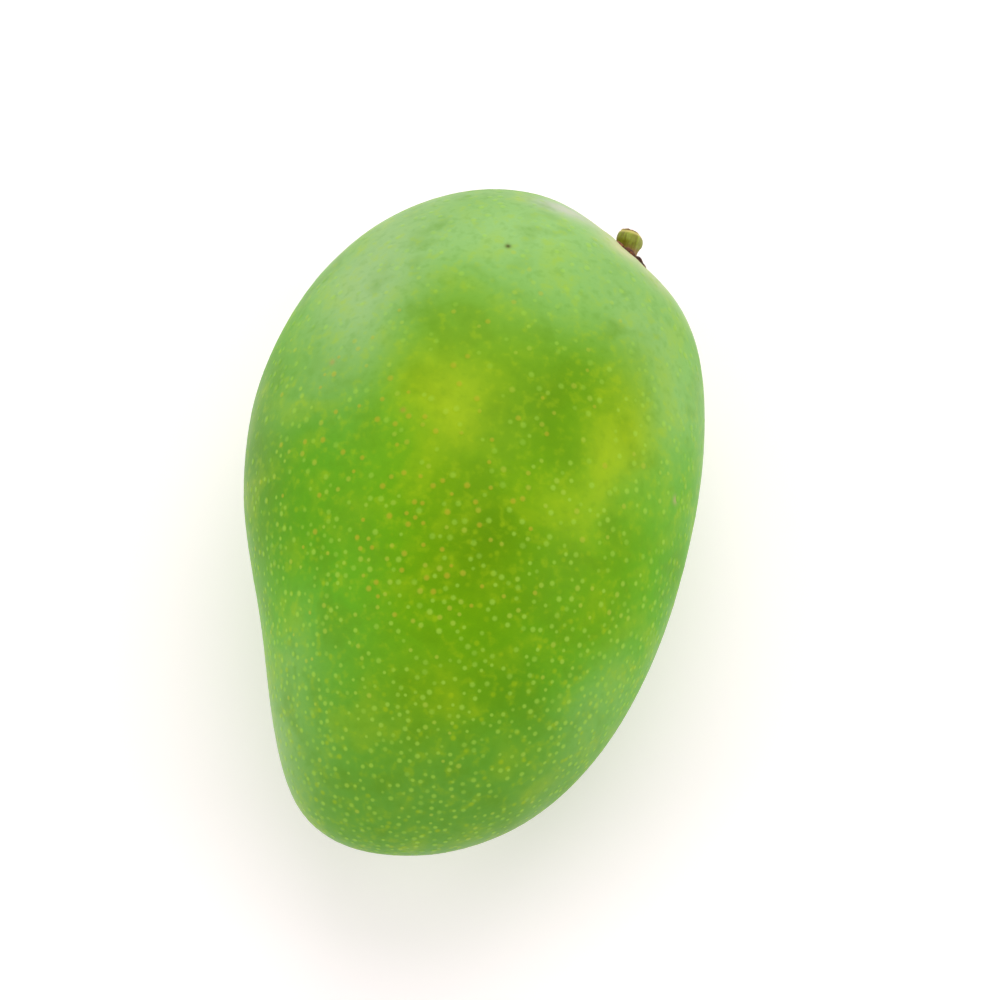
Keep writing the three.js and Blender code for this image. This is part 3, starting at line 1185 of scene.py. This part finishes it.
def soft_light(name, azimuth, elevation, distance, size, watts):
    """A square soft light that faces the object."""
    lamp = bpy.data.lights.new(name, "AREA")
    lamp.shape = "SQUARE"
    lamp.size = size
    lamp.energy = watts
    light = bpy.data.objects.new(name, lamp)
    back = facing(azimuth, elevation)
    light.location = back * distance + LIGHTS_AIM
    light.rotation_euler = back.to_track_quat("Z", "Y").to_euler()
    bpy.context.scene.collection.objects.link(light)


# The photograph's viewing angle in degrees, and the camera's distance, target, lens and sensor.
VIEW_AROUND = 10.8
VIEW_ABOVE = 76
VIEW_DISTANCE = 0.7
VIEW_TARGET = (5.83 * MM, 5.09 * MM, 33 * MM)
LENS = 143
SENSOR_WIDTH = 36


def build_camera():
    lens = bpy.data.cameras.new("camera")
    lens.lens = LENS
    lens.sensor_width = SENSOR_WIDTH
    camera = bpy.data.objects.new("camera", lens)
    back = facing(VIEW_AROUND, VIEW_ABOVE)
    around = math.radians(VIEW_AROUND)
    right = Vector((math.cos(around), math.sin(around), 0))
    up = back.cross(right)
    turned = Matrix((right, up, back)).transposed().to_4x4()
    camera.matrix_world = Matrix.Translation(Vector(VIEW_TARGET) + back * VIEW_DISTANCE) @ turned
    bpy.context.scene.collection.objects.link(camera)
    bpy.context.scene.camera = camera


def build_world():
    world = bpy.data.worlds.new("Soft white room")
    world.use_nodes = True
    tree = world.node_tree
    sky = tree.nodes["Background"]
    coordinates = tree.nodes.new("ShaderNodeTexCoord")
    up = parts_of(tree, coordinates.outputs["Generated"])[2]
    shade = mixed(tree, ramp(tree, up, 0.0, 1.0), (1, 1, 1, 1), ZENITH)
    tree.links.new(shade, sky.inputs["Color"])
    sky.inputs["Strength"].default_value = 1.0
    bpy.context.scene.world = world


class MANGO_OT_skin(bpy.types.Operator):
    """Grows the mango's skin over its solid."""

    bl_idname = "mango.skin"
    bl_label = "Skin"

    def execute(self, context):
        build_skin(context)
        return {"FINISHED"}


class MANGO_OT_dots(bpy.types.Operator):
    """Scatters the pale dots over the skin."""

    bl_idname = "mango.dots"
    bl_label = "Dots"

    def execute(self, context):
        build_dots(context)
        return {"FINISHED"}


class MANGO_OT_calyx(bpy.types.Operator):
    """Grows the ring of corky knobs round the stem."""

    bl_idname = "mango.calyx"
    bl_label = "Calyx ring"

    def execute(self, context):
        build_ring(context)
        return {"FINISHED"}


class MANGO_OT_stem(bpy.types.Operator):
    """Grows the stub of the stem with its broken end."""

    bl_idname = "mango.stem"
    bl_label = "Stem stub"

    def execute(self, context):
        build_stem(context)
        return {"FINISHED"}


class MANGO_OT_stage(bpy.types.Operator):
    """Sets the pale floor, the soft lights and the camera."""

    bl_idname = "mango.stage"
    bl_label = "Stage"

    def execute(self, context):
        context.scene.view_settings.view_transform = "Standard"
        build_floor()
        build_world()
        for light in LIGHTS:
            soft_light(*light)
        build_camera()
        return {"FINISHED"}


OPERATORS = (MANGO_OT_skin, MANGO_OT_dots, MANGO_OT_calyx, MANGO_OT_stem, MANGO_OT_stage)


class MANGO_PT_panel(bpy.types.Panel):
    """Lists the mango's pieces and their sizes."""

    bl_idname = "MANGO_PT_panel"
    bl_label = "Mango"
    bl_space_type = "VIEW_3D"
    bl_region_type = "UI"
    bl_category = "Mango"

    def draw(self, context):
        for group in GROUPS:
            box = self.layout.box()
            values = getattr(context.scene, group)
            for name in values.bl_rna.properties.keys():
                if name not in {"rna_type", "name"}:
                    box.prop(values, name)
        for operator in OPERATORS:
            self.layout.operator(operator.bl_idname)


GROUPS = {
    "mango_fruit": MangoFruit,
    "mango_stem": MangoStem,
    "mango_dots": MangoDots,
    "mango_colours": MangoColours,
}


def register():
    for name, group in GROUPS.items():
        bpy.utils.register_class(group)
        setattr(bpy.types.Scene, name, bpy.props.PointerProperty(type=group))
    for item in (*OPERATORS, MANGO_PT_panel):
        bpy.utils.register_class(item)


def unregister():
    for item in reversed((*OPERATORS, MANGO_PT_panel)):
        bpy.utils.unregister_class(item)
    for name, group in reversed(GROUPS.items()):
        delattr(bpy.types.Scene, name)
        bpy.utils.unregister_class(group)


def main():
    register()
    bpy.ops.mango.skin()
    bpy.ops.mango.dots()
    bpy.ops.mango.calyx()
    bpy.ops.mango.stem()
    bpy.ops.mango.stage()


if __name__ == "__main__":
    main()
